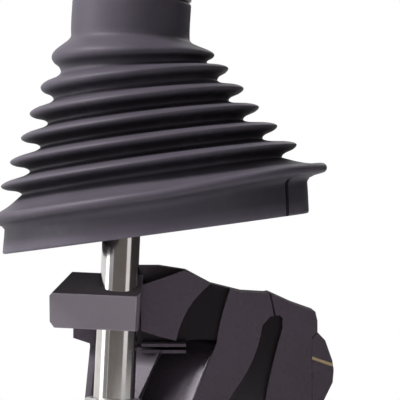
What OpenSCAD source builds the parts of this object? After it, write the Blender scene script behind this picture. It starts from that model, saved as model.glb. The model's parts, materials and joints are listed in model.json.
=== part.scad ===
// Forklift direction switch: a hand lever with a rubber gaiter, rocking on a trunnion
// in a ribbed moulded housing and driving a sliding three-way contact unit.
// Millimetres, +Z up, +X to the right of the lever, +Y to the rear of the housing.
// The origin is the centre of the mounting holes, on the underside of the base plate.

/* [Lever] */
// Diameter of the lever rod above the pivot block
rod_d = 10.6; // [8:0.1:12]
// Diameter of the lever rod below the pivot block
rod_lower_d = 11.4; // [9:0.1:12]
// Lean of the lever to the right in its neutral notch, in degrees
lever_lean = 2.6; // [0:0.2:4]
// Throw of the lever each way from neutral, in degrees
lever_throw = 12; // [8:1:12]
// Height of the pivot axis above the underside of the base
pivot_z = 74; // [70:1:90]
// Distance from the pivot axis down to the centre of the ball tip
tip_drop = 46; // [44:1:50]
// Diameter of the ball tip
tip_d = 8; // [7:0.5:9]
// Diameter of the stud that carries the ball tip
stud_d = 8; // [7:0.5:8]
// Length of the rod below the pivot axis, down to its lock nut
rod_drop = 24.7; // [22:0.1:27]

/* [Knob] */
// Height of the knob's underside above the pivot axis
knob_z = 85.5; // [80:0.5:95]
// Largest diameter of the knob
knob_d = 44; // [38:1:50]
// Height of the knob above its underside
knob_h = 46; // [40:1:56]
// Diameter of the knob's lower collar
knob_collar_d = 33; // [30:0.5:36]

/* [Gaiter] */
// Outer diameter of the gaiter's neck
neck_d = 33; // [30:0.5:36]
// Length of the gaiter's neck
neck_h = 10.5; // [8:0.5:14]
// Wall of the gaiter's neck and skirt
gaiter_wall = 2.2; // [1.8:0.1:3]
// Tilt of the bellows to the left of the rod, in degrees
gaiter_tilt = 10.6; // [6:0.2:12]
// Number of full convolutions below the shoulder
folds = 5; // [4:1:6]
// Distance from one convolution to the next
fold_pitch = 6.15; // [5.5:0.05:7]
// Radius of the first convolution, under the shoulder
fold_r = 22.6; // [21:0.2:25]
// Growth in radius from one convolution to the next
fold_step = 3.75; // [3:0.05:4]
// Depth of a convolution, crest to root
fold_depth = 6.6; // [5:0.2:7]
// Radius of the lip above the skirt
lip_r = 48; // [46:0.2:50]
// Outer diameter of the skirt
skirt_d = 84.8; // [82:0.4:88]
// Height of the skirt below the lip
skirt_h = 11; // [8:0.5:14]

/* [Pivot] */
// Length of the block's stub to the left of the rod
block_left = 18.6; // [16:0.2:22]
// Length of the block to the right of the rod
block_right = 6.4; // [6:0.1:7]
// Chamfer of the block's front right edge
block_chamfer = 1.1; // [0.5:0.1:1.3]
// Height of the block at the rod
block_h = 11; // [10:0.5:12]
// Rise of the block's top from the rod to its rear
block_rise = 4; // [2:0.5:5]
// Depth of the block in front of the rod's axis
block_front = 8.5; // [8:0.5:10]
// Depth of the block behind the rod's axis
block_back = 9; // [8:0.5:10]
// Diameter of the trunnion
trunnion_d = 10; // [9:0.5:11]

/* [Housing] */
// Depth from the rod's axis to the housing's front face
face_y = 9.8; // [9.6:0.1:11]
// Depth of the ribbed front body
rib_depth = 10.4; // [9:0.2:13]
// Thickness of the housing's back plate
back_t = 12; // [9:0.5:14]
// Reach of the ribbed front body to the right of the rod's axis
sector_r = 56; // [55:0.5:60]
// Depth of the recess between the outer two ribs
recess_depth = 9; // [6:0.5:9]
// Turn of the middle rib's flank to the left, in degrees
flank_turn = 38; // [20:1:45]
// Rise of the flank from the pocket's floor towards its foot, in degrees
flank_rise = 9; // [4:0.5:10]
// Depth of the cored pockets in the back
core_depth = 8; // [4:0.5:8.5]
// Length of the base plate
base_l = 108; // [106:1:124]
// Width of the base plate
base_w = 66; // [64:1:80]
// Thickness of the base plate
base_t = 6; // [5:0.5:8]
// Radius of the base plate's corners
base_corner_r = 6; // [2:0.5:7]
// Distance of the mounting holes from the base plate's edges
hole_inset = 7; // [6:0.5:9]
// Diameter of the mounting holes
hole_d = 6.6; // [5.5:0.1:7]

/* [Contacts] */
// Length of the sliding carriage
carriage_l = 22; // [20:1:24]
// Width of the sliding carriage
carriage_w = 11; // [10.5:0.1:11.2]
// End wall of the contact case
case_wall = 3; // [2.5:0.1:3.5]
// Side wall of the contact case
case_side = 3.7; // [3.5:0.1:3.8]
// Thickness of the contact cover
cover_t = 3; // [2.5:0.1:3.5]
// Spacing of the fixed contacts
contact_pitch = 12; // [12:0.5:13]
// Width of a terminal blade
blade_w = 6.3; // [4.8:0.1:6.3]
// Thickness of a terminal blade
blade_t = 0.8; // [0.8:0.1:1]

/* [Hidden] */
$fn = 64;
running = 0.05;     // radial clearance of a running fit
slide_fit = 0.2;    // clearance of a sliding fit
seat = 0.02;        // clearance of a fixed piece in its seat
eps = 0.5;          // overlap of unions and cuts
rod_x = -14;        // place of the rod's axis on the base
rod_y = -6;
plastic = [0.16, 0.15, 0.16];
rubber = [0.14, 0.13, 0.14];
steel = [0.75, 0.75, 0.76];
brass = [0.78, 0.62, 0.3];

// Lever rod, from the ball tip to the top thread in the knob
rod_top = knob_z + 24;
neck_rod_d = 6;
stud_end = tip_drop - 9;
stud_grip = 11;
tip_nut_af = 14;
tip_nut_h = 6;
// Gaiter, measured down the bellows' own axis from the tilt centre
tilt_z = knob_z - neck_h + 1;
first_s = 5.6;
lip_s = first_s + (folds + 1) * fold_pitch + 1;
skirt_s = lip_s + skirt_h + 1.4;
skirt_r = skirt_d / 2;
spigot_d = neck_d - 2 * gaiter_wall - 2 * seat;
// Knob
collar_h = 5;
collar_edge = 0.7;
waist_in = 2;
insert_d = 15;
insert_h = 20;
nut_af = 17;
nut_h = 6;
// Trunnion, bush, washer and clip behind the block
back_y = face_y + rib_depth + back_t;
bush_d = 14;
bush_flange_d = 20;
bush_flange_t = 1.5;
washer_t = 1.5;
clip_t = 1.2;
clip_groove_d = trunnion_d - 2;
clip_y = back_y + bush_flange_t + washer_t + 3 * seat;
nose_l = 2.4;
trunnion_end = clip_y + clip_t + nose_l;
bush_y = face_y + rib_depth + 1;
// Grub screw in the block's stub
grub_d = 6;
grub_l = 10;
// Contact unit, placed under the rod's tip at neutral
tip_x = -tip_drop * sin(lever_lean);
tip_z = pivot_z - tip_drop * cos(lever_lean);
travel = tip_drop * lever_throw * PI / 180;
case_floor = 3;
case_l = carriage_l + 2 * travel + 2 * case_wall + 2;
cavity_w = carriage_w + 2 * slide_fit;
case_w = cavity_w + 2 * case_side;
floor_z = base_t + case_floor;
carriage_z = floor_z + 4;
carriage_top = tip_z + 2;
case_top = carriage_top + 1;
ear_l = 9;
ear_t = 5;
pad_t = blade_t;
leaf_t = 0.6;
leaf_l = 17;
leaf_w = 6.4;
rail_w = 2;
leaf_z = floor_z + pad_t + 0.3;
spring_d = 4;
spring_wire = 0.6;
spring_bore_d = spring_d + 0.6;
spring_dx = 5;
spring_top = leaf_z + leaf_t + 6;
blade_out = 9;
notch_d = 3;
detent_d = 4;
detent_z = carriage_z + 5.4;
screw_d = 3;
screw_head_d = 5.6;
screw_head_h = 2;
cover_screw_x = case_l / 2 - 3.6;
cover_screw_y = case_w / 2 - 1.95;
hole_dx = base_l - 2 * hole_inset;
hole_dy = base_w - 2 * hole_inset;
cover_screw_l = 9;
cover_screw_d = 2.4;
cover_head_h = 1.6;
cap_screw_l = 9;
// End cap at the right of the ribbed body
cap_x = sector_r - 1.6;
cap_seat = cap_x + 0.1;
cap_out = 6.1;
cap_y = [face_y + 0.2, back_y - 2];
cap_screw_z = -22.4;
strip_z = -14.7;
strip_slope = 19;
strip_l = 16;
cap_screw_seat = 2;
ledge_t = 0.9;
ledge_l = 12.6;
ledge_set = 0.6;
flank_land = 0.4;

// Placing

module at_pivot() {
    translate([rod_x, rod_y, pivot_z]) children();
}

module on_lever() {
    at_pivot() rotate([0, lever_lean, 0]) children();
}

module on_case() {
    translate([rod_x + tip_x, rod_y, 0]) children();
}

// A solid of the given outline in the XZ plane, from depth y0 to y1
module slab(y0, y1) {
    translate([0, y1, 0]) rotate([90, 0, 0]) linear_extrude(y1 - y0) children();
}

// A cylinder along Y, from depth y0 to y1
module y_cylinder(d, y0, y1) {
    translate([0, y1, 0]) rotate([90, 0, 0]) cylinder(d = d, h = y1 - y0);
}

// A cylinder along X, from x0 to x1
module x_cylinder(d, x0, x1) {
    translate([x0, 0, 0]) rotate([0, 90, 0]) cylinder(d = d, h = x1 - x0);
}

module hex(af, h) {
    cylinder(d = af / cos(30), h = h, $fn = 6);
}

// A hexagon nut with its corners turned off at both faces
module nut(af, h, bore) {
    difference() {
        intersection() {
            hex(af, h);
            cylinder(d1 = af + 0.4, d2 = af + 0.4 + 4 * h, h = h);
            cylinder(d1 = af + 0.4 + 4 * h, d2 = af + 0.4, h = h);
        }
        translate([0, 0, -eps]) cylinder(d = bore, h = h + 2 * eps);
    }
}

// Lever

module lever_rod() {
    color(steel) on_lever() difference() {
        union() {
            translate([0, 0, -block_h / 2 - eps]) cylinder(d = rod_d, h = rod_top + block_h / 2 + eps);
            translate([0, 0, -rod_drop]) cylinder(d = rod_lower_d, h = rod_drop - block_h / 2 - seat);
        }
        translate([0, 0, -rod_drop - eps]) cylinder(d = stud_d + 2 * seat, h = stud_grip + 2 * eps);
    }
}

module tip_stud() {
    color(steel) on_lever() {
        translate([0, 0, -stud_end]) cylinder(d = stud_d, h = stud_end - rod_drop + stud_grip);
        translate([0, 0, -tip_drop]) cylinder(d = neck_rod_d, h = tip_drop - stud_end + eps);
        translate([0, 0, -tip_drop]) sphere(d = tip_d);
    }
}

module tip_nut() {
    color(steel) on_lever() translate([0, 0, -rod_drop - tip_nut_h - seat])
        nut(tip_nut_af, tip_nut_h, stud_d + 2 * seat);
}

// Half outline of the knob's collar and waist, below its ball
function collar_outline() = let(r = knob_collar_d / 2, e = collar_edge, h = collar_h) [
    [0, 0], [r - e, 0], [r, e], [r, h - e], [r - e, h], [r - waist_in, h + e], [r - waist_in, knob_d / 2],
    [0, knob_d / 2]];

module knob() {
    color(plastic) on_lever() translate([0, 0, knob_z]) difference() {
        union() {
            translate([0, 0, knob_h - knob_d / 2]) sphere(d = knob_d);
            rotate_extrude() polygon(collar_outline());
            translate([0, 0, -neck_h + 2]) cylinder(d = spigot_d, h = neck_h - 2 + eps);
        }
        translate([0, 0, -neck_h]) cylinder(d = insert_d + 2 * seat, h = neck_h + 2 + insert_h);
        translate([0, 0, insert_h]) cylinder(d = rod_d + 1, h = rod_top - knob_z - insert_h + 2);
    }
}

module knob_insert() {
    color(brass) on_lever() translate([0, 0, knob_z]) difference() {
        translate([0, 0, -neck_h + 2]) cylinder(d = insert_d, h = neck_h + insert_h - 2);
        translate([0, 0, -neck_h]) cylinder(d = rod_d + 2 * seat, h = neck_h + insert_h + eps);
        for (z = [0, 8, 16])
            translate([0, 0, z]) difference() {
                cylinder(d = insert_d + 2, h = 2);
                translate([0, 0, -eps]) cylinder(d = insert_d - 1.2, h = 2 + 2 * eps);
            }
    }
}

module knob_jam_nut() {
    color(steel) on_lever() translate([0, 0, knob_z - neck_h + 2 - nut_h - seat])
        nut(nut_af, nut_h, rod_d + 2 * seat);
}

// Radius of the bellows' outer wave at distance s down its axis
function crest_r(s) = fold_r + fold_step * (s - first_s) / fold_pitch;
function wave_r(s) = crest_r(s) - fold_depth * (1 - cos(360 * (s - first_s) / fold_pitch)) / 2;
wave_end = first_s + (folds + 0.5) * fold_pitch;
wave_step = fold_pitch / 10;
bellows_wall = 3;

// Half outline of the bellows, down its own axis: shoulder, folds, lip and skirt
function bellows_outer() = concat(
    [[neck_d / 2 - 0.3, -1], [neck_d / 2 + 0.6, 1], [neck_d / 2 + 3, 2.8]],
    [for (s = [first_s - 1.2:wave_step:wave_end]) [wave_r(s), s]],
    [[lip_r - 5, lip_s - 1.6], [lip_r - 1.2, lip_s - 1.3], [lip_r - 0.35, lip_s - 0.85],
     [lip_r, lip_s], [lip_r - 0.35, lip_s + 0.85], [lip_r - 1.2, lip_s + 1.3],
     [skirt_r, lip_s + 2.2], [skirt_r, skirt_s - 0.6], [skirt_r - 0.6, skirt_s]]);

function bellows_inner() = concat(
    [[skirt_r - gaiter_wall, skirt_s], [skirt_r - gaiter_wall, lip_s + 1]],
    [for (s = [wave_end:-wave_step:first_s + fold_pitch / 2]) [wave_r(s) - bellows_wall, s]],
    [[neck_d / 2 + 0.4, first_s - 0.6], [neck_d / 2 - gaiter_wall, 0.4],
     [neck_d / 2 - gaiter_wall - 0.4, -1]]);

module bellows(outline) {
    translate([0, 0, tilt_z]) rotate([0, -gaiter_tilt, 0]) rotate_extrude()
        polygon([for (p = outline) [p[0], -p[1]]]);
}

module gaiter() {
    color(rubber) on_lever() difference() {
        union() {
            bellows(concat(bellows_outer(), bellows_inner()));
            translate([0, 0, knob_z - neck_h - 1])
                cylinder(d = neck_d, h = neck_h + 1 - seat);
        }
        translate([0, 0, knob_z - neck_h - 4])
            cylinder(d = neck_d - 2 * gaiter_wall, h = neck_h + 4 + eps);
    }
}

// Front outline of the pivot block: it thins towards its left end
function block_outline() = [
    [-block_left, block_h / 2 - 2.3], [-block_left + 6, block_h], [block_right, block_h],
    [block_right - 0.4, -block_h / 2], [-block_left + 1.7, -block_h / 2],
    [-block_left + 0.4, -block_h / 2 + 1.6]];

// Side outline of the pivot block, in Y and Z: its top slopes up to the rear
function block_side() = [
    [-block_front, block_h / 2 - 1.5], [block_back, block_h / 2 + block_rise],
    [block_back, -block_h], [-block_front + 0.8, -block_h], [-block_front, -block_h / 2 + 0.6]];

// Plan of the pivot block, in X and Y
function block_plan() = [
    [-block_left, -block_front], [block_right - block_chamfer, -block_front],
    [block_right, -block_front + 3 * block_chamfer], [block_right, block_back],
    [-block_left, block_back]];

module pivot_block() {
    color(plastic) on_lever() difference() {
        union() {
            intersection() {
                slab(-block_front, block_back) polygon(block_outline());
                translate([0, 0, -block_h]) linear_extrude(3 * block_h) polygon(block_plan());
                translate([-block_left - eps, 0, 0]) rotate([90, 0, 90])
                    linear_extrude(block_left + block_right + 2 * eps) polygon(block_side());
            }
            y_cylinder(trunnion_d, block_back - eps, trunnion_end);
        }
        translate([0, 0, -block_h]) cylinder(d = rod_d + 2 * seat, h = 2 * block_h);
        x_cylinder(grub_d + 2 * seat, -block_left - eps, 0);
        translate([0, clip_y - seat, 0]) difference() {
            y_cylinder(trunnion_d + 1, 0, clip_t + 2 * seat);
            y_cylinder(clip_groove_d, -eps, clip_t + 2 * seat + eps);
        }
    }
}

module rod_grub_screw() {
    color(steel) on_lever() difference() {
        x_cylinder(grub_d, -rod_d / 2 - 0.1 - grub_l, -rod_d / 2 - 0.1);
        translate([-rod_d / 2 - grub_l - 0.2, 0, 0]) rotate([0, 90, 0]) hex(3, 4);
    }
}

module pivot_washer() {
    color(steel) on_lever() translate([0, back_y + bush_flange_t + seat, 0]) difference() {
        y_cylinder(bush_flange_d, 0, washer_t);
        y_cylinder(trunnion_d + 2 * slide_fit, -eps, washer_t + eps);
    }
}

// Retaining ring with an open side, in the trunnion's groove
module pivot_clip() {
    color(steel) on_lever() translate([0, clip_y, 0]) difference() {
        y_cylinder(trunnion_d + 6, 0, clip_t);
        y_cylinder(clip_groove_d + 2 * seat, -eps, clip_t + eps);
        translate([-2.6, -eps, -trunnion_d]) cube([5.2, clip_t + 2 * eps, trunnion_d]);
    }
}

// Housing

// The housing's outlines, in X and Z from the pivot, are stretched along X to sector_r
foot_z = base_t - pivot_z - eps;
function stretch(points) = let(drawn = right_edge()[0][0])
    [for (p = points) [p[0] * sector_r / drawn, p[1]]];

function top_edge() = [[18.4, 10.4], [25.7, 6.5], [34.5, 4.3], [41.4, 3.9], [42.4, 4.1], [49.2, 1],
    [55.4, -1.2]];
function right_edge() = [[56, -3.8], [56, -6.9], [54.4, -8.5], [54.4, -28.2], [52, -50], [50, foot_z]];
function left_edge() = [[-16, foot_z], [-10.5, -26.4], [-8.9, -10.8], [-13.7, -9.2], [-13.7, 3], [-8, 8],
    [-4, 9], [4.3, 11.6], [10.7, 11.6]];
function back_outline() = concat(left_edge(), top_edge(), right_edge());

// Points of a shallow curve from p to q, bowed to its left by the given rise, without its ends
function bend(p, q, rise) = let(along = q - p, side = [-along[1], along[0]] / norm(along))
    [for (u = [0.125:0.125:0.875]) p + u * along + 4 * rise * u * (1 - u) * side];

// The rib beside the rod, and the two outer ribs with the recess and the seam between them
rib_x = 6.2;
rib_heel = [16, -9.4];
function inner_rib() = let(brow = [25.6, 6.5]) concat(
    [[rib_x, -6.6], [rib_x, 6.2], top_edge()[0], brow], bend(brow, rib_heel, -1.7), [rib_heel, [11.1, -8.2]]);
flank_top = [27.5, -10];
flank_foot = [14.2, -46];
function outer_ribs() = let(brow = [31.3, 5.1]) concat([[13, foot_z], flank_foot, flank_top],
    bend(flank_top, brow, 0.4), [brow], [for (i = [2:6]) top_edge()[i]], right_edge());
function recess() = let(crown = [46.1, -6], right_foot = [39.6, -38], left_foot = [24, -42],
        waist = [33.6, -22], brow = [40.4, -5.1]) concat(
    [[42.6, -2.6], [45.4, -2.2], [46.1, -3], crown], bend(crown, right_foot, -0.8), [right_foot],
    bend(right_foot, left_foot, 5), [left_foot], bend(left_foot, waist, 0.8), [waist],
    bend(waist, brow, -1.1), [brow]);
function seam() = [[41.9, 6], [42.4, 6], [44.4, -3], [43.8, -3]];

// The web behind the rod, cut back to the left and the top from where it comes furthest forward
web_crest = [8.2, -20];
web_set = 1.2;
web_turn = 36;
web_tilt = 8;
function web_outline() = [left_edge()[2], left_edge()[1], left_edge()[0], [-4, foot_z], [4.8, -26.7], [11.6, -12]];

module web() {
    intersection() {
        slab(face_y, face_y + rib_depth + eps) polygon(stretch(web_outline()));
        translate([web_crest[0], face_y + web_set, web_crest[1]]) rotate([-web_tilt, 0, -web_turn])
            translate([-pivot_z, 0, -pivot_z]) cube([2 * pivot_z, pivot_z, 2 * pivot_z]);
    }
}

// What is cut from the left cheek of the back, which turns to the left as the web does
cheek_x = -6.5;
cheek_lean = 6;
cheek_top = -11.5;
module cheek_cut() {
    translate([cheek_x, face_y + rib_depth, cheek_top]) rotate([0, cheek_lean, -web_turn])
        translate([-pivot_z, -pivot_z, -pivot_z]) cube(pivot_z);
}

// Flank of the middle rib: it grows from nothing at its top, between the rib's side and the pocket's floor
module rib_flank() {
    along = flank_top - flank_foot;
    l = norm(along);
    translate([stretch([flank_top])[0][0], face_y + rib_depth, flank_top[1]])
        rotate([0, atan(along[0] / along[1]), 0]) intersection() {
            translate([-l, flank_land - rib_depth, -l]) cube([l + eps, rib_depth - flank_land + eps, l]);
            rotate([0, -flank_rise, -90 - flank_turn]) translate([-l, -l, -2 * l]) cube([l, 2 * l, 3 * l]);
        }
}

// Cored pockets in the back: left, right, lower and upper limits of each
function cores() = [[-8, 5.5, -62, -32], [9, 25.5, -62, -32], [29, 44, -62, -32],
    [17, 31, -27, -4], [34.5, 44, -27, -5]];

module base_plate() {
    translate([-base_l / 2 + base_corner_r, -base_w / 2, 0])
        cube([base_l - 2 * base_corner_r, base_w, base_t]);
    translate([-base_l / 2, -base_w / 2 + base_corner_r, 0])
        cube([base_l, base_w - 2 * base_corner_r, base_t]);
    for (x = [-1, 1], y = [-1, 1])
        translate([x * (base_l / 2 - base_corner_r), y * (base_w / 2 - base_corner_r), 0])
            cylinder(r = base_corner_r, h = base_t);
}

// A pocket with rounded corners, open to the back
module core(box) {
    r = 2.5;
    y0 = back_y - core_depth;
    slab(y0, back_y + eps) union() {
        translate([box[0] + r, box[2]]) square([box[1] - box[0] - 2 * r, box[3] - box[2]]);
        translate([box[0], box[2] + r]) square([box[1] - box[0], box[3] - box[2] - 2 * r]);
        for (x = [box[0] + r, box[1] - r], z = [box[2] + r, box[3] - r]) translate([x, z]) circle(r = r);
    }
}

module ribbed_front() {
    difference() {
        slab(face_y, face_y + rib_depth) polygon(stretch(outer_ribs()));
        slab(face_y - eps, face_y + recess_depth) polygon(stretch(recess()));
        slab(face_y - eps, face_y + 3) polygon(stretch(seam()));
    }
    slab(face_y, face_y + rib_depth) polygon(stretch(inner_rib()));
    rib_flank();
    web();
    for (i = [1, 2])
        slab(face_y + ledge_set, face_y + rib_depth)
            translate([rib_x, rib_heel[1] - i * 2 * ledge_t]) square([ledge_l, ledge_t]);
}

module housing() {
    color(plastic) difference() {
        union() {
            at_pivot() difference() {
                union() {
                    slab(face_y + rib_depth - eps, back_y) polygon(stretch(back_outline()));
                    ribbed_front();
                }
                cheek_cut();
                for (box = cores()) core(box);
                y_cylinder(bush_d + 2 * seat, bush_y, back_y + eps);
                y_cylinder(trunnion_d + 2, face_y - eps, back_y);
            }
            base_plate();
        }
        for (x = [-1, 1], y = [-1, 1])
            translate([x * hole_dx / 2, y * hole_dy / 2, -eps]) cylinder(d = hole_d, h = base_t + 2 * eps);
        case_screw_places() translate([0, 0, 1]) cylinder(d = screw_d + 2 * seat, h = base_t);
        cap_screw_places() rotate([0, 90, 0])
            translate([0, 0, -cap_screw_l]) cylinder(d = screw_d + 2 * seat, h = 2 * cap_screw_l);
    }
}

module pivot_bush() {
    color(brass) at_pivot() difference() {
        union() {
            y_cylinder(bush_d, bush_y, back_y + eps);
            y_cylinder(bush_flange_d, back_y + seat, back_y + bush_flange_t);
        }
        y_cylinder(trunnion_d + 2 * running, face_y, back_y + bush_flange_t + eps);
    }
}

// The cap closes the wiring space at the right end of the ribbed body
function cap_outline() = [
    [cap_seat, -8.8], [cap_seat + 1.6, -7.1], [cap_seat + 3.7, -9.3], [cap_seat + cap_out - 0.4, -15],
    [cap_seat + cap_out, -17.6], [cap_seat + cap_out - 0.3, -21.2], [cap_seat + cap_out - 2.8, -26.3],
    [cap_seat, -28]];

module cap_screw_places() {
    for (y = [cap_y[0] + 5, cap_y[1] - 5])
        at_pivot() translate([cap_seat, y, cap_screw_z]) children();
}

// The sloped place of the earth strip in the cap
module strip_place() {
    at_pivot() translate([cap_seat, cap_y[0], strip_z]) rotate([0, strip_slope, 0]) children();
}

module end_cap() {
    color(plastic) difference() {
        at_pivot() slab(cap_y[0], cap_y[1]) polygon(cap_outline());
        strip_place() translate([-cap_out, -eps, -seat])
            cube([3 * cap_out, strip_l + eps + seat, pad_t + 2 * seat]);
        cap_screw_places() rotate([0, 90, 0]) {
            cylinder(d = screw_d + 2 * slide_fit, h = 3 * cap_out, center = true);
            translate([0, 0, cap_screw_seat]) cylinder(d = screw_head_d + 2 * slide_fit, h = 3 * cap_out);
        }
    }
}

// The strip shows at the cap's front and outer faces
module earth_strip() {
    color(brass) intersection() {
        at_pivot() slab(cap_y[0] - eps, cap_y[1]) polygon(cap_outline());
        strip_place() translate([-cap_out, 0, 0]) cube([3 * cap_out, strip_l, pad_t]);
    }
}

module end_cap_screws() {
    color(steel) cap_screw_places() rotate([0, 90, 0]) difference() {
        union() {
            translate([0, 0, -cap_screw_l + cap_screw_seat]) cylinder(d = screw_d, h = cap_screw_l + eps);
            translate([0, 0, cap_screw_seat + seat]) cylinder(d = screw_head_d, h = screw_head_h);
        }
        translate([0, 0, cap_screw_seat + screw_head_h / 2]) hex(screw_d * 0.8, screw_head_h);
    }
}

// Contact unit

module cover_screw_places() {
    for (x = [-1, 1], y = [-1, 1])
        on_case() translate([x * cover_screw_x, y * cover_screw_y, case_top]) children();
}

module case_screw_places() {
    for (x = [-1, 1])
        on_case() translate([x * (case_l / 2 + ear_l / 2), 0, 0]) children();
}

module contact_case() {
    color(plastic) difference() {
        on_case() difference() {
            union() {
                translate([-case_l / 2, -case_w / 2, base_t]) cube([case_l, case_w, case_top - base_t]);
                translate([-case_l / 2 - ear_l, -ear_l / 2, base_t])
                    cube([case_l + 2 * ear_l, ear_l, ear_t]);
            }
            translate([-case_l / 2 + case_wall, -cavity_w / 2, floor_z])
                cube([case_l - 2 * case_wall, cavity_w, case_top]);
            for (x = [-1, 0, 1])
                translate([x * contact_pitch - blade_w / 2 - slide_fit, -case_w, floor_z])
                    cube([blade_w + 2 * slide_fit, case_w, blade_t + 2 * slide_fit]);
            for (x = [-1, 0, 1])
                translate([x * travel, cavity_w / 2, detent_z - 4]) cylinder(d = notch_d, h = 8);
        }
        case_screw_places() cylinder(d = screw_d + 2 * slide_fit, h = base_t + ear_t + eps);
        cover_screw_places() translate([0, 0, -cover_screw_l - 1])
            cylinder(d = cover_screw_d + 2 * seat, h = cover_screw_l + 2);
    }
}

module contact_cover() {
    color(plastic) difference() {
        on_case() difference() {
            translate([-case_l / 2, -case_w / 2, case_top]) cube([case_l, case_w, cover_t]);
            for (x = [-1, 1]) translate([x * travel, 0, case_top - eps])
                cylinder(d = neck_rod_d + 3, h = cover_t + 2 * eps);
            translate([-travel, -neck_rod_d / 2 - 1.5, case_top - eps])
                cube([2 * travel, neck_rod_d + 3, cover_t + 2 * eps]);
        }
        cover_screw_places() translate([0, 0, -eps])
            cylinder(d = cover_screw_d + 2 * slide_fit, h = cover_t + 2 * eps);
    }
}

module cover_screws() {
    color(steel) cover_screw_places() difference() {
        union() {
            translate([0, 0, -cover_screw_l]) cylinder(d = cover_screw_d, h = cover_screw_l + cover_t + eps);
            translate([0, 0, cover_t + seat]) cylinder(d = 1.6 * cover_screw_d, h = cover_head_h);
        }
        translate([0, 0, cover_t + cover_head_h / 2]) hex(0.75 * cover_screw_d, cover_head_h);
    }
}

module case_screws() {
    color(steel) case_screw_places() translate([0, 0, base_t + ear_t]) difference() {
        union() {
            translate([0, 0, -ear_t - base_t + 2]) cylinder(d = screw_d, h = ear_t + base_t - 2 + eps);
            translate([0, 0, seat]) cylinder(d = screw_head_d, h = screw_head_h);
        }
        translate([0, 0, 0.8]) hex(2.4, 2);
    }
}

// A brass strip: a contact pad in the case and a blade out through its front wall
module terminal(i) {
    color(brass) on_case() translate([i * contact_pitch, 0, floor_z + seat]) difference() {
        union() {
            translate([-blade_w / 2, -case_w / 2 - blade_out + 2, 0])
                cube([blade_w, case_w / 2 + blade_out - 2 + 4, blade_t]);
            translate([-blade_w / 2 + 1.2, -case_w / 2 - blade_out, 0])
                cube([blade_w - 2.4, 2 + eps, blade_t]);
        }
        translate([0, -case_w / 2 - blade_out + 4.4, -eps]) cylinder(d = 1.8, h = blade_t + 2 * eps);
    }
}

module contact_carriage() {
    color([0.85, 0.83, 0.76]) on_case() difference() {
        union() {
            translate([-carriage_l / 2, -carriage_w / 2, carriage_z])
                cube([carriage_l, carriage_w, carriage_top - carriage_z]);
            for (y = [-carriage_w / 2, carriage_w / 2 - rail_w])
                translate([-carriage_l / 2, y, leaf_z]) cube([carriage_l, rail_w, carriage_z - leaf_z]);
        }
        translate([0, 0, tip_z - tip_d / 2 - 2.5]) cylinder(d = tip_d + 0.7, h = tip_d + 10);
        for (x = [-1, 1]) translate([x * spring_dx, 0, carriage_z - eps])
            cylinder(d = spring_bore_d, h = spring_top - carriage_z + eps);
        translate([0, 0, detent_z]) y_cylinder(detent_d + 0.3, carriage_w / 2 - 6.5, carriage_w);
    }
}

module bridge_contact() {
    color([0.8, 0.48, 0.3]) on_case() translate([-leaf_l / 2, -leaf_w / 2, leaf_z]) union() {
        cube([leaf_l, leaf_w, leaf_t]);
        for (x = [0, leaf_l - 1.2]) translate([x, 0, 0]) cube([1.2, leaf_w, leaf_t + 1]);
    }
}

// A close helix of round wire with flat-cut ends
module coil(d, wire, h, turns) {
    sides = 6;
    steps = 12;
    count = round(turns * steps);
    r = (d - wire) / 2;
    points = [for (i = [0:count], k = [0:sides - 1]) let(
        a = 360 * i / steps,
        b = 360 * k / sides,
        q = r + wire / 2 * cos(b)
    ) [q * cos(a), q * sin(a), wire / 2 + (h - wire) * i / count + wire / 2 * sin(b)]];
    walls = [for (i = [0:count - 1], k = [0:sides - 1]) let(k2 = (k + 1) % sides)
        [i * sides + k, i * sides + k2, (i + 1) * sides + k2, (i + 1) * sides + k]];
    polyhedron(points, concat(walls, [[for (k = [sides - 1:-1:0]) k]],
        [[for (k = [0:sides - 1]) count * sides + k]]), convexity = 8);
}

module bridge_springs() {
    color(steel) for (x = [-1, 1]) on_case()
        translate([x * spring_dx, 0, leaf_z + leaf_t + 0.05])
            coil(spring_d, spring_wire, spring_top - leaf_z - leaf_t - 0.1, 5);
}

module detent_ball() {
    color(steel) on_case()
        translate([0, cavity_w / 2 - detent_d / 2 - 0.3, detent_z]) sphere(d = detent_d);
}

module detent_spring() {
    color(steel) on_case() translate([0, carriage_w / 2 - 6.4, detent_z]) rotate([-90, 0, 0])
        coil(detent_d - 0.4, 0.5, 2.2, 3);
}

lever_rod();
tip_stud();
tip_nut();
knob();
knob_insert();
knob_jam_nut();
gaiter();
pivot_block();
rod_grub_screw();
pivot_washer();
pivot_clip();
housing();
pivot_bush();
end_cap();
earth_strip();
end_cap_screws();
contact_case();
contact_cover();
cover_screws();
case_screws();
terminal(-1);  // forward_terminal
terminal(0);  // common_terminal
terminal(1);  // reverse_terminal
contact_carriage();
bridge_contact();
bridge_springs();
detent_ball();
detent_spring();
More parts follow.
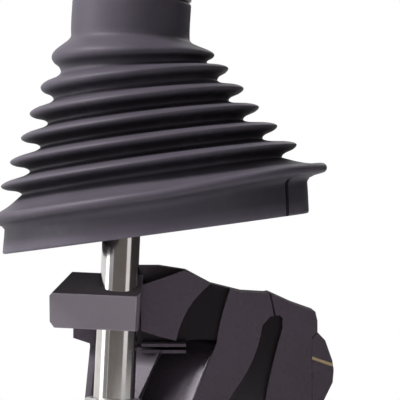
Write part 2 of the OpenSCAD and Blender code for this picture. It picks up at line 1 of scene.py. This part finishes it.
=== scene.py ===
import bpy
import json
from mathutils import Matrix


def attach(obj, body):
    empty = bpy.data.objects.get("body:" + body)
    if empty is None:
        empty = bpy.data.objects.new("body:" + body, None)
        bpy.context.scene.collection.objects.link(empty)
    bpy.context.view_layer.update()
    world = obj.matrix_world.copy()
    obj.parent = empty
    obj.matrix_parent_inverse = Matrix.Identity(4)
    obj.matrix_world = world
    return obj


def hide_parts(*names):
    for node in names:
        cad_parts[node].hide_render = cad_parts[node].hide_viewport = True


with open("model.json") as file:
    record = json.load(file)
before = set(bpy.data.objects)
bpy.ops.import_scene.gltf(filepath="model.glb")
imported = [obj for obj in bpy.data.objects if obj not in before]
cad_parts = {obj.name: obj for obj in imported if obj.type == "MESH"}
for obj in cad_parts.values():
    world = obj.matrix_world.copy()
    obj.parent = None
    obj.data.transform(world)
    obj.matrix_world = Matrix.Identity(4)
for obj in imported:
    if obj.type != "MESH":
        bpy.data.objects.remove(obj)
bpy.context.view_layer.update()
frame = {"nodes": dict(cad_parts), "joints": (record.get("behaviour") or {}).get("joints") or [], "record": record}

import json
import math

import bpy
from mathutils import Matrix, Vector

MM = 0.001
scene = bpy.context.scene
nodes = frame["nodes"]

# The lever's pivot and its lean at rest, as in the solids
hinge = next(j for j in frame["joints"] if j["name"] == "lever_pivot")
PIVOT = Vector(hinge["pos_m"])
LEAN = math.radians(2.6)
LEVER = Matrix.Translation(PIVOT) @ Matrix.Rotation(LEAN, 4, "Y")

# The gaiter's radii, and its heights up the rod from the pivot, in millimetres
CREST = [22.6, 26.2, 29.9, 33.3, 37.4, 41.4]
ROOT = [20.3, 22.9, 25.3, 28.4, 32.6, 36.4]
CREST_Z = [70.3, 64.2, 57.8, 51.9, 46.0, 40.1]
NECK_R, NECK_TOP, NECK_FOOT = 16.5, 85.45, 75.4
LIP_R, LIP_Z, RIM = 48.0, 33.4, 1.3
LIP_TOP = LIP_Z + 1.0
FOLD_Z = CREST_Z + [LIP_TOP]
LIP_ROOT = (CREST_Z[-1] + LIP_TOP) / 2
SKIRT_R, SKIRT_TOP, SKIRT_FOOT = 42.3, LIP_Z - 3.4, 21.4
SKIRT_END = SKIRT_FOOT + 0.6
WALL, FOLD_WALL = 2.2, 1.9

# How far the gaiter's rings lie to the right of the rod, and their tilt in degrees, by the way down
SKIRT_SHIFT, SKIRT_TILT = 9.6, 10.2
DOWN = [-z for z in [85.5, 76.0, *CREST_Z, LIP_Z]]
BELOW = -18.0
SHIFT = list(zip(DOWN, [0.0, 0.0, 1.0, 1.7, 2.6, 3.8, 5.1, 6.8, 8.9]))
SHIFT += [(-SKIRT_FOOT, SKIRT_SHIFT), (BELOW, 9.7)]
TILT = list(zip(DOWN, [0.0, 0.0, 3.6, 8.6, 9.5, 10.2, 10.5, 10.8, 10.6]))
TILT += [(BELOW, SKIRT_TILT)]

# The foot of the skirt in the frame, and the way up from it
SKIRT_AT = LEVER @ (Vector((SKIRT_SHIFT, 0.0, SKIRT_FOOT)) * MM)
skirt_lean = math.radians(SKIRT_TILT)
SKIRT_UP = LEVER.to_3x3() @ Vector((-math.sin(skirt_lean), 0.0, math.cos(skirt_lean)))


# Materials

class Nodes:
    """A material's node tree: each call adds a node, sets its inputs and returns one of its outputs."""

    def __init__(self, name):
        self.material = bpy.data.materials.new(name)
        self.material.use_nodes = True
        self.tree = self.material.node_tree
        self.tree.nodes.clear()
        self.shader = self.tree.nodes.new("ShaderNodeBsdfPrincipled")
        out = self.tree.nodes.new("ShaderNodeOutputMaterial")
        self.tree.links.new(self.shader.outputs[0], out.inputs[0])
        self.coord = self.tree.nodes.new("ShaderNodeTexCoord").outputs["Object"]

    def add(self, kind, output=0, **inputs):
        """Inputs go by name, or by number as i0, i1 and so on; set_ is for the node's own settings."""
        node = self.tree.nodes.new(kind)
        for key, value in inputs.items():
            if key.startswith("set_"):
                setattr(node, key[4:], value)
                continue
            name = int(key[1:]) if key[0] == "i" and key[1:].isdigit() else key.replace("_", " ")
            self.wire(node.inputs[name], value)
        return node.outputs[output]

    def wire(self, socket, value):
        if isinstance(value, bpy.types.NodeSocket):
            self.tree.links.new(value, socket)
        else:
            socket.default_value = value

    def noise(self, scale, detail, rough, stretch=None):
        vector = self.coord
        if stretch:
            vector = self.add("ShaderNodeMapping", Vector=self.coord, Scale=stretch)
        return self.add("ShaderNodeTexNoise", Vector=vector, Scale=scale, Detail=detail, Roughness=rough)

    def ramp(self, value, low, high, to_low=0.0, to_high=1.0):
        return self.add("ShaderNodeMapRange", i0=value, i1=low, i2=high, i3=to_low, i4=to_high)

    def math(self, operation, a, b):
        return self.add("ShaderNodeMath", set_operation=operation, i0=a, i1=b)

    def times(self, a, b):
        return self.math("MULTIPLY", a, b)

    def dot(self, a, b):
        return self.add("ShaderNodeVectorMath", "Value", set_operation="DOT_PRODUCT", i0=a, i1=b)

    def mix(self, factor, a, b):
        node = self.tree.nodes.new("ShaderNodeMix")
        node.data_type = "RGBA"
        for name, value in ((0, factor), (6, a), (7, b)):
            self.wire(node.inputs[name], value)
        return node.outputs[2]

    def bump(self, height, strength, distance, normal=None):
        inputs = {"Height": height, "Strength": strength, "Distance": distance}
        if normal is not None:
            inputs["Normal"] = normal
        return self.add("ShaderNodeBump", **inputs)

    def edges(self, reach):
        """1 within the given reach of an edge, 0 on open faces."""
        rounded = self.add("ShaderNodeBevel", Radius=reach, set_samples=4)
        flat = self.add("ShaderNodeNewGeometry", "Normal")
        return self.ramp(self.dot(rounded, flat), 0.99, 0.90)

    def open_sky(self, reach, own=True):
        """1 on open faces, towards 0 in hollows: the piece's own, or also those under other pieces."""
        return self.add("ShaderNodeAmbientOcclusion", "AO", Distance=reach, set_samples=8,
                        set_only_local=own)

    def upward(self):
        """1 on faces that look up, where dust settles, and 0 on upright ones."""
        normal = self.add("ShaderNodeNewGeometry", "True Normal")
        return self.ramp(self.add("ShaderNodeSeparateXYZ", 2, Vector=normal), 0.3, 0.8)

    def between(self, axis, low, high):
        """0 to 1 from low to high along an axis of the frame."""
        split = self.add("ShaderNodeSeparateXYZ", "XYZ".index(axis), Vector=self.coord)
        return self.ramp(split, low, high)

    def finish(self, **inputs):
        for key, value in inputs.items():
            self.wire(self.shader.inputs[key.replace("_", " ")], value)
        return self.material


def grey(value, tint=(1.0, 1.0, 1.0)):
    return tuple(value * t for t in tint) + (1.0,)


RUBBER_TINT = (1.0, 0.87, 1.12)
# The skirt is painted darker than the folds up to this height over its foot, as painted shade, and darker still
# from left to right, away from the light
SKIRT_SHADE_HEIGHT = (0.0085, 0.0105)
SKIRT_FADE = (-0.005, 0.022)
SHADE_LEFT, SHADE_RIGHT = 0.70, 0.52
# The height of the paler band along the skirt's foot, and how much paler it is than the folds' lightest rubber
FOOT_BAND_H, FOOT_BAND_PALE = 0.0040, 1.3


def rubber_material(name, low, high):
    m = Nodes(name)
    cloud = m.noise(55, 5, 0.6)
    unshaded = m.mix(m.ramp(cloud, 0.35, 0.7), grey(low, RUBBER_TINT), grey(high, RUBBER_TINT))
    height = m.dot(m.coord, SKIRT_UP)
    foot = SKIRT_AT.dot(SKIRT_UP)
    # Painted shade on the skirt, darker towards the right
    skirt_shade = m.mix(m.between("X", *SKIRT_FADE), grey(SHADE_LEFT * high, RUBBER_TINT),
                 grey(SHADE_RIGHT * low, RUBBER_TINT))
    # The skirt turns paler towards its foot, in patches
    pale_foot = m.times(m.ramp(height, foot + FOOT_BAND_H, foot), m.ramp(cloud, 0.3, 0.6, 0.5, 1.0))
    skirt = m.mix(pale_foot, skirt_shade, grey(FOOT_BAND_PALE * high, RUBBER_TINT))
    above = m.ramp(height, foot + SKIRT_SHADE_HEIGHT[0], foot + SKIRT_SHADE_HEIGHT[1])
    # Painted shade: the rubber darkens to near-black in the hollows of the folds
    open_face = m.ramp(m.open_sky(0.010), 0.25, 0.75)
    base = m.mix(open_face, grey(0.012, RUBBER_TINT), m.mix(above, skirt, unshaded))
    bloom = m.times(m.ramp(m.noise(420, 3, 0.6), 0.45, 0.75), m.ramp(cloud, 0.4, 0.7))
    colour = m.mix(m.times(bloom, 0.3), base, grey(0.10, RUBBER_TINT))
    grain = m.bump(m.noise(1500, 3, 0.6), 0.2, 0.0002)
    soft = m.bump(m.noise(110, 3, 0.5), 0.1, 0.0006, grain)
    rough = m.ramp(cloud, 0.3, 0.75, 0.46, 0.60)
    return m.finish(Base_Color=colour, Roughness=rough, Normal=soft, Specular_IOR_Level=0.18)


MOULDED_TINT = (1.0, 0.78, 1.04)
DUST_ROUGH, GRIME_ROUGH = 0.9, 0.8


def moulded_material(name, shade, grime=None):
    """Moulded plastic; shade gives 1 on open faces, towards 0 in hollows, which are painted near-black as painted
    shade, and grime 1 where it is dull.
    """
    m = Nodes(name)
    cloud = m.noise(38, 5, 0.62)
    unshaded = m.mix(m.ramp(cloud, 0.3, 0.7), grey(0.041, MOULDED_TINT), grey(0.045, MOULDED_TINT))
    open_face = shade(m)
    # Painted shade: the hollows go near-black
    base = m.mix(open_face, grey(0.005, MOULDED_TINT), unshaded)
    wear = m.times(m.edges(0.0006), m.ramp(m.noise(160, 4, 0.6), 0.42, 0.62))
    colour = m.mix(m.times(wear, 0.35), base, grey(0.10, MOULDED_TINT))
    grain = m.bump(m.noise(1100, 3, 0.6), 0.10, 0.0001)
    satin = m.ramp(m.noise(240, 4, 0.6), 0.3, 0.7, 0.25, 0.31)
    clean_rough = m.times(satin, m.ramp(open_face, 0.0, 1.0, 0.6, 1.0))
    rough = m.math("MAXIMUM", clean_rough, m.times(m.upward(), DUST_ROUGH))
    if grime:
        rough = m.math("MAXIMUM", rough, m.times(grime(m), GRIME_ROUGH))
    return m.finish(Base_Color=colour, Roughness=rough, Normal=grain, Specular_Tint=(1.0, 0.90, 1.03, 1.0))


# Where the housing's pockets and hollows get painted shade
def open_moulding(m):
    return m.ramp(m.open_sky(0.018), 0.65, 0.98)


# The web beside the rod: its top under the ledges, its right edge, and where the grime on it fades
WEB_TOP, WEB_EDGE = PIVOT.z - 0.0110, PIVOT.x + 0.0125
GRIME_FADE = (0.0080, 0.0025)


def under_ledges(m):
    """1 right under the ledges beside the rod, fading to 0 down the web."""
    fade = m.between("Z", WEB_TOP - GRIME_FADE[0], WEB_TOP - GRIME_FADE[1])
    below = m.times(fade, m.between("Z", WEB_TOP + 0.0002, WEB_TOP))
    return m.times(below, m.between("X", WEB_EDGE + 0.0010, WEB_EDGE))


BLOCK_TINT = (1.0, 0.885, 1.02)


def block_material():
    m = Nodes("block_black")
    cloud = m.noise(70, 5, 0.6)
    unshaded = m.mix(m.ramp(cloud, 0.3, 0.7), grey(0.138, BLOCK_TINT), grey(0.146, BLOCK_TINT))
    # Painted shade: the block darkens where other pieces hang over it, most of all its top under the gaiter
    open_face = m.ramp(m.open_sky(0.030, own=False), 0.35, 0.80)
    base = m.mix(open_face, grey(0.04, BLOCK_TINT), unshaded)
    patches = m.noise(260, 4, 0.6)
    wear = m.times(m.edges(0.0007), m.ramp(patches, 0.4, 0.6))
    colour = m.mix(m.times(wear, 0.6), base, grey(0.26, BLOCK_TINT))
    skin = m.bump(m.noise(900, 4, 0.65), 0.12, 0.00012)
    rough = m.ramp(patches, 0.3, 0.7, 0.74, 0.82)
    return m.finish(Base_Color=colour, Roughness=rough, Normal=skin, Specular_IOR_Level=0.0)


def knob_material():
    m = Nodes("knob_black")
    cloud = m.noise(45, 4, 0.6)
    colour = m.mix(m.ramp(cloud, 0.3, 0.7), grey(0.016), grey(0.024))
    skin = m.bump(m.noise(650, 3, 0.6), 0.12, 0.00025)
    rough = m.ramp(m.noise(120, 5, 0.65), 0.3, 0.7, 0.24, 0.40)
    return m.finish(Base_Color=colour, Roughness=rough, Normal=skin)


def rod_material():
    m = Nodes("rod_steel")
    rings = m.noise(900, 3, 0.6, stretch=(0.05, 0.05, 1.0))
    streak = m.noise(240, 4, 0.6, stretch=(1.0, 1.0, 0.08))
    stain = m.noise(60, 5, 0.65)
    warm = m.mix(m.ramp(stain, 0.45, 0.72), (0.64, 0.62, 0.62, 1), (0.55, 0.51, 0.48, 1))
    colour = m.mix(m.ramp(streak, 0.5, 0.75, 0.0, 0.35), warm, (0.46, 0.42, 0.39, 1))
    ground = m.bump(rings, 0.03, 0.0001)
    rough = m.ramp(streak, 0.3, 0.7, 0.10, 0.16)
    return m.finish(Base_Color=colour, Roughness=rough, Normal=ground, Metallic=1.0)


def metal_material(name, bright, dark, low, high):
    m = Nodes(name)
    stain = m.noise(130, 5, 0.6)
    colour = m.mix(m.ramp(stain, 0.4, 0.7), bright, dark)
    skin = m.bump(m.noise(1400, 3, 0.6), 0.15, 0.0001)
    rough = m.ramp(m.noise(320, 4, 0.6), 0.3, 0.7, low, high)
    return m.finish(Base_Color=colour, Roughness=rough, Normal=skin, Metallic=1.0)


def nylon_material():
    m = Nodes("carriage_nylon")
    cloud = m.noise(90, 4, 0.6)
    colour = m.mix(m.ramp(cloud, 0.3, 0.7), (0.62, 0.59, 0.49, 1), (0.70, 0.67, 0.58, 1))
    skin = m.bump(m.noise(800, 3, 0.6), 0.15, 0.0002)
    rough = m.ramp(m.noise(200, 4, 0.6), 0.3, 0.7, 0.36, 0.52)
    return m.finish(Base_Color=colour, Roughness=rough, Normal=skin, Subsurface_Weight=0.05)


STEEL = ((0.60, 0.60, 0.61, 1), (0.46, 0.45, 0.44, 1))
BRASS = ((0.62, 0.50, 0.30, 1), (0.46, 0.35, 0.19, 1))
MATERIALS = {
    "gaiter_rubber": rubber_material("gaiter_rubber", 0.062, 0.075),
    "moulded_black": moulded_material("moulded_black", open_moulding, under_ledges),
    "block_black": block_material(),
    "knob_black": knob_material(),
    "rod_steel": rod_material(),
    "screw_steel": metal_material("screw_steel", *STEEL, 0.24, 0.42),
    "contact_brass": metal_material("contact_brass", *BRASS, 0.26, 0.44),
    "carriage_nylon": nylon_material(),
}
for part in frame["record"]["subparts"]:
    mesh = nodes[part["node"]].data
    mesh.materials.clear()
    mesh.materials.append(MATERIALS[part["material_slot"]])


# Moulded edges of the solids that stay in view, in millimetres

SOFT_EDGES = {"housing": 0.35, "pivot_block": 0.5, "end_cap": 0.4, "contact_case": 0.5,
              "contact_cover": 0.4, "contact_carriage": 0.3}
for node, width in SOFT_EDGES.items():
    bevel = nodes[node].modifiers.new("soft_edge", "BEVEL")
    bevel.width = width * MM
    bevel.segments = 3
    bevel.limit_method = "ANGLE"
    bevel.angle_limit = math.radians(28)
    bevel.harden_normals = True


def add_mesh(name, verts, faces):
    mesh = bpy.data.meshes.new(name)
    mesh.from_pydata(verts, [], faces)
    obj = bpy.data.objects.new(name, mesh)
    scene.collection.objects.link(obj)
    return obj


# The gaiter, in the lever's own frame

def smooth(points, t):
    """A smooth curve through (t, value) points."""
    i = max(k for k in range(len(points) - 1) if k == 0 or points[k][0] <= t)
    p1, p2 = points[i], points[i + 1]
    p0 = points[max(i - 1, 0)]
    p3 = points[min(i + 2, len(points) - 1)]
    span = p2[0] - p1[0]
    u = min(max((t - p1[0]) / span, 0.0), 1.0)
    m1 = (p2[1] - p0[1]) / (p2[0] - p0[0]) * span
    m2 = (p3[1] - p1[1]) / (p3[0] - p1[0]) * span
    return ((2 * u**3 - 3 * u**2 + 1) * p1[1] + (u**3 - 2 * u**2 + u) * m1
            + (-2 * u**3 + 3 * u**2) * p2[1] + (u**3 - u**2) * m2)


def share(value, low, high):
    """0 at low, 1 at high, and in between in proportion."""
    return min(max((value - low) / (high - low), 0.0), 1.0)


def steps(count):
    """Equal steps after 0, up to 1."""
    return [k / count for k in range(1, count + 1)]


def fold(u):
    """A fold's height, from 1 at the crest to 0 at the root, with steep flanks."""
    c = math.cos(math.pi * u)
    return 0.5 + 0.5 * math.copysign(abs(c) ** 0.72, c)


def gaiter_profile():
    """(radius, height) down the outside, from the neck's top to the skirt's foot."""
    neck = NECK_TOP - 0.7
    line = [(NECK_R - 0.5, NECK_TOP), (NECK_R - 0.1, NECK_TOP - 0.25)]
    line += [(NECK_R, neck - (neck - NECK_FOOT) * u) for u in [0.0, *steps(6)]]
    for u in steps(9):
        swell = (1 - math.cos(math.pi * u)) / 2
        line.append((NECK_R + (CREST[0] - NECK_R) * swell, NECK_FOOT + (CREST_Z[0] - NECK_FOOT) * u))
    for i, (crest, root) in enumerate(zip(CREST, ROOT)):
        top, foot = FOLD_Z[i], FOLD_Z[i + 1]
        middle = (top + foot) / 2
        line += [(root + (crest - root) * fold(u), top + (middle - top) * u) for u in steps(10)]
        if i + 1 < len(CREST):
            rise = CREST[i + 1] - root
            line += [(root + rise * fold(1 - u), middle + (foot - middle) * u) for u in steps(10)]
    for u in steps(10):
        drop = (LIP_TOP - LIP_ROOT) * math.sin(math.pi / 2 * u)
        line.append((ROOT[-1] + (LIP_R - 1.2 - ROOT[-1]) * u, LIP_ROOT + drop))
    for u in steps(8):
        a = math.pi / 2 - math.pi * u
        line.append((LIP_R - RIM + RIM * math.cos(a), LIP_Z - 0.3 + RIM * math.sin(a)))
    line += [(SKIRT_R + 2.2, LIP_Z - 1.9), (SKIRT_R + 0.7, LIP_Z - 2.4)]
    line += [(SKIRT_R + 0.5 * u, SKIRT_TOP + (SKIRT_END - SKIRT_TOP) * u) for u in [0.0, *steps(6)]]
    return line + [(SKIRT_R + 0.32, SKIRT_FOOT + 0.15), (SKIRT_R - 0.2, SKIRT_FOOT)]


def gaiter_inside():
    """(radius, height) up the inside, from the skirt's foot to the neck's top."""
    skirt, neck = SKIRT_R - WALL, NECK_R - WALL
    line = [(skirt, SKIRT_FOOT), (skirt - 0.4, SKIRT_FOOT + 0.5), (skirt - 0.5, LIP_Z - 1.0)]
    for i in reversed(range(len(CREST))):
        top = FOLD_Z[i]
        middle = (top + FOLD_Z[i + 1]) / 2
        root = ROOT[i] - FOLD_WALL
        line.append((root, middle))
        for u in steps(6)[:-1]:
            wave = ((1 - math.cos(math.pi * u)) / 2) ** 1.2
            line.append((root + (CREST[i] - ROOT[i] - 0.3) * wave, middle + (top - middle) * u))
    line += [(CREST[0] - 2.4, CREST_Z[0] + 0.4), (neck + 1.6, NECK_FOOT - 1.6), (neck, NECK_FOOT + 0.6)]
    return line + [(neck, NECK_TOP - 0.4), (neck + 0.4, NECK_TOP)]


# How far the lip sags, and from where round the gaiter, counted from its right end
LIP_DROOP = 1.7
DROOP_FROM, DROOP_FULL = math.radians(40), math.radians(85)


def droop(height, angle):
    """How far the lip and the top of the skirt sag, at the front and left but not at the right end."""
    along = min(share(height, LIP_ROOT, LIP_TOP), share(height, SKIRT_END, SKIRT_TOP))
    away = (angle + math.pi) % (2 * math.pi) - math.pi
    return LIP_DROOP * along * share(abs(away), DROOP_FROM, DROOP_FULL)


# The moulding seam down the skirt: its place, its half width, its depth, and the steps across it
SEAM, SEAM_HALF, SEAM_DEPTH = math.radians(-32.9), math.radians(1.1), 1.7
SEAM_STEPS = (-1.3, -1.0, -0.8, 0.8, 1.0, 1.3)
SEAM_FLOOR = 0.9
TURN_STEPS = 192


def make_gaiter():
    outside = gaiter_profile()
    line = outside + gaiter_inside()
    angles = [SEAM + SEAM_HALF * d for d in SEAM_STEPS]
    angles += [SEAM + 2 * math.pi * k / TURN_STEPS for k in range(1, TURN_STEPS)]
    turns = len(angles)
    angles.sort()
    verts, faces, skirt_rows = [], [], []
    for i, (radius, height) in enumerate(line):
        tilt = math.radians(smooth(TILT, -height))
        shift = smooth(SHIFT, -height)
        outer = i < len(outside)
        skirt = outer and height < LIP_Z - 2.2 and radius < SKIRT_R + 0.9
        if skirt:
            skirt_rows.append(i)
        for a in angles:
            groove = SEAM_DEPTH if skirt and abs(a - SEAM) < SEAM_FLOOR * SEAM_HALF else 0.0
            x, y = (radius - groove) * math.cos(a), (radius - groove) * math.sin(a)
            sag = droop(height, a) if outer else 0.0
            point = Vector((shift + x * math.cos(tilt), y, height - sag + x * math.sin(tilt)))
            verts.append(LEVER @ (point * MM))
    count = len(line)
    for i in range(count):
        j = (i + 1) % count
        for k in range(turns):
            k2 = (k + 1) % turns
            faces.append((i * turns + k, j * turns + k, j * turns + k2, i * turns + k2))
    skin = add_mesh("gaiter_skin", verts, faces)
    skin.data.materials.append(MATERIALS["gaiter_rubber"])
    # The seam's groove gets a darker copy of the rubber, as painted shade in the groove
    skin.data.materials.append(rubber_material("gaiter_seam_shade", 0.016, 0.020))
    seam = [k for k, a in enumerate(angles) if -1.1 < (a - SEAM) / SEAM_HALF < SEAM_FLOOR]
    for face in skin.data.polygons:
        row, turn = divmod(face.index, turns)
        in_seam = row in skirt_rows and row + 1 in skirt_rows and turn in seam
        face.use_smooth = not in_seam
        face.material_index = int(in_seam)
    skin.data.update()
    return skin


gaiter = make_gaiter()
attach(gaiter, "lever")
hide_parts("gaiter")


# The hollow flank of the middle rib, in millimetres from the pivot: it runs from the rib's front edge
# back to the pocket's floor, and widens down the rib

FLANK_TOP = Vector((27.5, 20.2, -10.0))
FLANK_FOOT = Vector((14.2, 20.2, -46.0))
FLANK_W, FLANK_GROWTH = 16.3, 3.5
FLANK_TALL, FLANK_FALL, FLANK_RISE = 9.9, 0.075, 0.0012
FLANK_BEND = 0.6
FLANK_SUNK = 0.3
FLANK_STEPS, FLANK_ROWS = 16, 30
# The rows' first place and reach along the rib, and how they crowd towards its top
ROW_FIRST, ROW_REACH, ROW_CROWD = 0.01, 0.995, 1.5
# The share of the depth, from the floor, and the way down, in metres, that the painted shade takes to clear
SHADE_DEPTH, SHADE_DOWN = 0.6, 0.012


def flank_section(s):
    """The hollow's (left, forward) points at s down the rib, then its sunk back."""
    wide = FLANK_W * (1 - math.exp(-s / FLANK_GROWTH))
    tall = FLANK_TALL - FLANK_FALL * s + FLANK_RISE * s ** 2
    shares = [1 - k / FLANK_STEPS for k in range(FLANK_STEPS + 1)]
    curve = [(wide * u, tall * (1 - u) * (1 - FLANK_BEND * u)) for u in shares]
    return curve + [(-FLANK_SUNK, tall), (-FLANK_SUNK, -FLANK_SUNK), (wide, -FLANK_SUNK)]


def flank_shade(m):
    """The flank's painted shade: 1 at the front and down the flank, towards 0 at the pocket's floor and at the
    top.
    """
    floor_y = PIVOT.y + FLANK_TOP.y * MM
    front_y = PIVOT.y + (FLANK_TOP.y - FLANK_TALL) * MM
    top_z = PIVOT.z + FLANK_TOP.z * MM
    near = m.between("Y", floor_y, (1 - SHADE_DEPTH) * floor_y + SHADE_DEPTH * front_y)
    return m.times(near, m.between("Z", top_z, top_z - SHADE_DOWN))


def make_flank():
    along = FLANK_FOOT - FLANK_TOP
    length = along.length
    down = along / length
    left = Vector((down.z, 0.0, -down.x))
    forward = Vector((0.0, -1.0, 0.0))
    verts, faces = [], []
    for row in range(FLANK_ROWS + 1):
        part = ROW_FIRST + ROW_REACH * (row / FLANK_ROWS) ** ROW_CROWD
        place = FLANK_TOP + down * length * part
        section = flank_section(length * part)
        verts += [PIVOT + (place + left * a + forward * b) * MM for a, b in section]
    count = len(section)
    for row in range(FLANK_ROWS):
        low, high = row * count, (row + 1) * count
        for k in range(count):
            k2 = (k + 1) % count
            faces.append((low + k, high + k, high + k2, low + k2))
    faces.append(tuple(range(count)))
    faces.append(tuple(FLANK_ROWS * count + k for k in reversed(range(count))))
    piece = add_mesh("rib_flank", verts, faces)
    piece.data.materials.append(moulded_material("flank_black", flank_shade))
    for face in piece.data.polygons[:FLANK_ROWS * count]:
        face.use_smooth = face.index % count < FLANK_STEPS
    piece.data.update()
    return piece


flank = make_flank()
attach(flank, "base")


# Floor, light and camera

def sheet(name, corners):
    return add_mesh(name, corners, [tuple(range(len(corners)))])


FLOOR_R, FLOOR_Z, FLOOR_SIDES = 0.47, -0.0002, 128
rim = [2 * math.pi * k / FLOOR_SIDES for k in range(FLOOR_SIDES)]
floor = sheet("floor", [(FLOOR_R * math.cos(a), FLOOR_R * math.sin(a), FLOOR_Z) for a in rim])
paper = Nodes("floor_paper")
floor.data.materials.append(paper.finish(Base_Color=(0.72, 0.72, 0.72, 1), Roughness=0.9))

AIM = (PIVOT.x + 0.01, PIVOT.y, PIVOT.z + 0.03)


def point_at(obj, place, target, axis):
    obj.location = place
    obj.rotation_euler = (Vector(target) - Vector(place)).to_track_quat(axis, "Y").to_euler()


def add_lamp(name, kind, place, target, power):
    lamp = bpy.data.lights.new(name, kind)
    lamp.energy = power
    obj = bpy.data.objects.new(name, lamp)
    point_at(obj, place, target, "-Z")
    scene.collection.objects.link(obj)
    return obj


def area_light(name, place, size, power):
    lamp = add_lamp(name, "AREA", place, AIM, power).data
    lamp.shape = "RECTANGLE"
    lamp.size, lamp.size_y = size


area_light("key", (-0.68, -0.28, 0.90), (0.30, 0.30), 17.0)
area_light("back", (0.50, 0.90, 0.60), (0.50, 0.50), 1.5)
# What the web, the cheek and the middle rib's flank mirror
area_light("glint", (-0.95, -0.24, 0.245), (0.36, 0.52), 1.35)
area_light("flank_glint", (-0.950, -0.115, 0.312), (0.22, 0.22), 2.7)

# A soft spot under the skirt, for the block and the housing
LOW_AIM = (PIVOT.x + 0.005, PIVOT.y, PIVOT.z - 0.02)
low_spot = add_lamp("low_spot", "SPOT", (0.06, -1.0, -0.05), LOW_AIM, 33.0)
low_spot.data.spot_size = math.radians(11.0)
low_spot.data.spot_blend = 0.9
low_spot.data.shadow_soft_size = 0.06
low_spot.visible_glossy = False


def card(name, place, size, level):
    """A dull card that the bright metal mirrors; the camera never sees it."""
    w, h = size[0] / 2, size[1] / 2
    obj = sheet(name, [(-w, -h, 0), (w, -h, 0), (w, h, 0), (-w, h, 0)])
    point_at(obj, place, AIM, "Z")
    m = Nodes(name)
    obj.data.materials.append(m.finish(Base_Color=(0.0, 0.0, 0.0, 1), Roughness=1.0,
                                       Emission_Color=level, Emission_Strength=1.0))
    obj.visible_camera = False
    obj.visible_shadow = False


card("card_front", (0.02, -1.5, 0.15), (2.6, 1.6), (0.15, 0.135, 0.125, 1))
card("card_right", (1.2, 0.55, 0.15), (3.0, 1.4), (0.025, 0.020, 0.021, 1))
card("card_left", (-1.04, -0.60, -0.10), (0.80, 0.44), (0.26, 0.255, 0.265, 1))

# A faint even light, and white where the camera, metal or glass looks past the object
AMBIENT, WHITE = 0.08, 1.0
world = bpy.data.worlds.new("studio")
scene.world = world
world.use_nodes = True
tree = world.node_tree
tree.nodes.clear()


def background(strength):
    node = tree.nodes.new("ShaderNodeBackground")
    node.inputs["Color"].default_value = (1, 1, 1, 1)
    node.inputs["Strength"].default_value = strength
    return node.outputs[0]


def either(a, b):
    node = tree.nodes.new("ShaderNodeMath")
    node.operation = "MAXIMUM"
    tree.links.new(a, node.inputs[0])
    tree.links.new(b, node.inputs[1])
    return node.outputs[0]


path = tree.nodes.new("ShaderNodeLightPath").outputs
shown = either(either(path["Is Camera Ray"], path["Is Glossy Ray"]), path["Is Transmission Ray"])
mixer = tree.nodes.new("ShaderNodeMixShader")
for socket, value in zip(mixer.inputs, (shown, background(AMBIENT), background(WHITE))):
    tree.links.new(value, socket)
result = tree.nodes.new("ShaderNodeOutputWorld")
tree.links.new(mixer.outputs[0], result.inputs[0])

# The photograph's frame: its width, the pivot's place and the horizon in pixels, and the pixels to the
# millimetre at the rod
PHOTO_W = 400
PIVOT_PX, PIVOT_PY, HORIZON = 118, 309, 220.0
SCALE = 3.6
DISTANCE = 0.555
SENSOR = 36.0
camera_data = bpy.data.cameras.new("camera")
camera_data.sensor_width = SENSOR
camera_data.lens = DISTANCE / MM * SCALE / PHOTO_W * SENSOR
camera_data.shift_y = (HORIZON - PHOTO_W / 2) / PHOTO_W
camera_data.clip_end = 10.0
camera = bpy.data.objects.new("camera", camera_data)
aside = (PHOTO_W / 2 - PIVOT_PX) / SCALE * MM
above = (PIVOT_PY - HORIZON) / SCALE * MM
camera.location = (PIVOT.x + aside, PIVOT.y - DISTANCE, PIVOT.z + above)
camera.rotation_euler = (math.radians(90), 0, 0)
scene.collection.objects.link(camera)
scene.camera = camera
scene.view_settings.view_transform = "Standard"
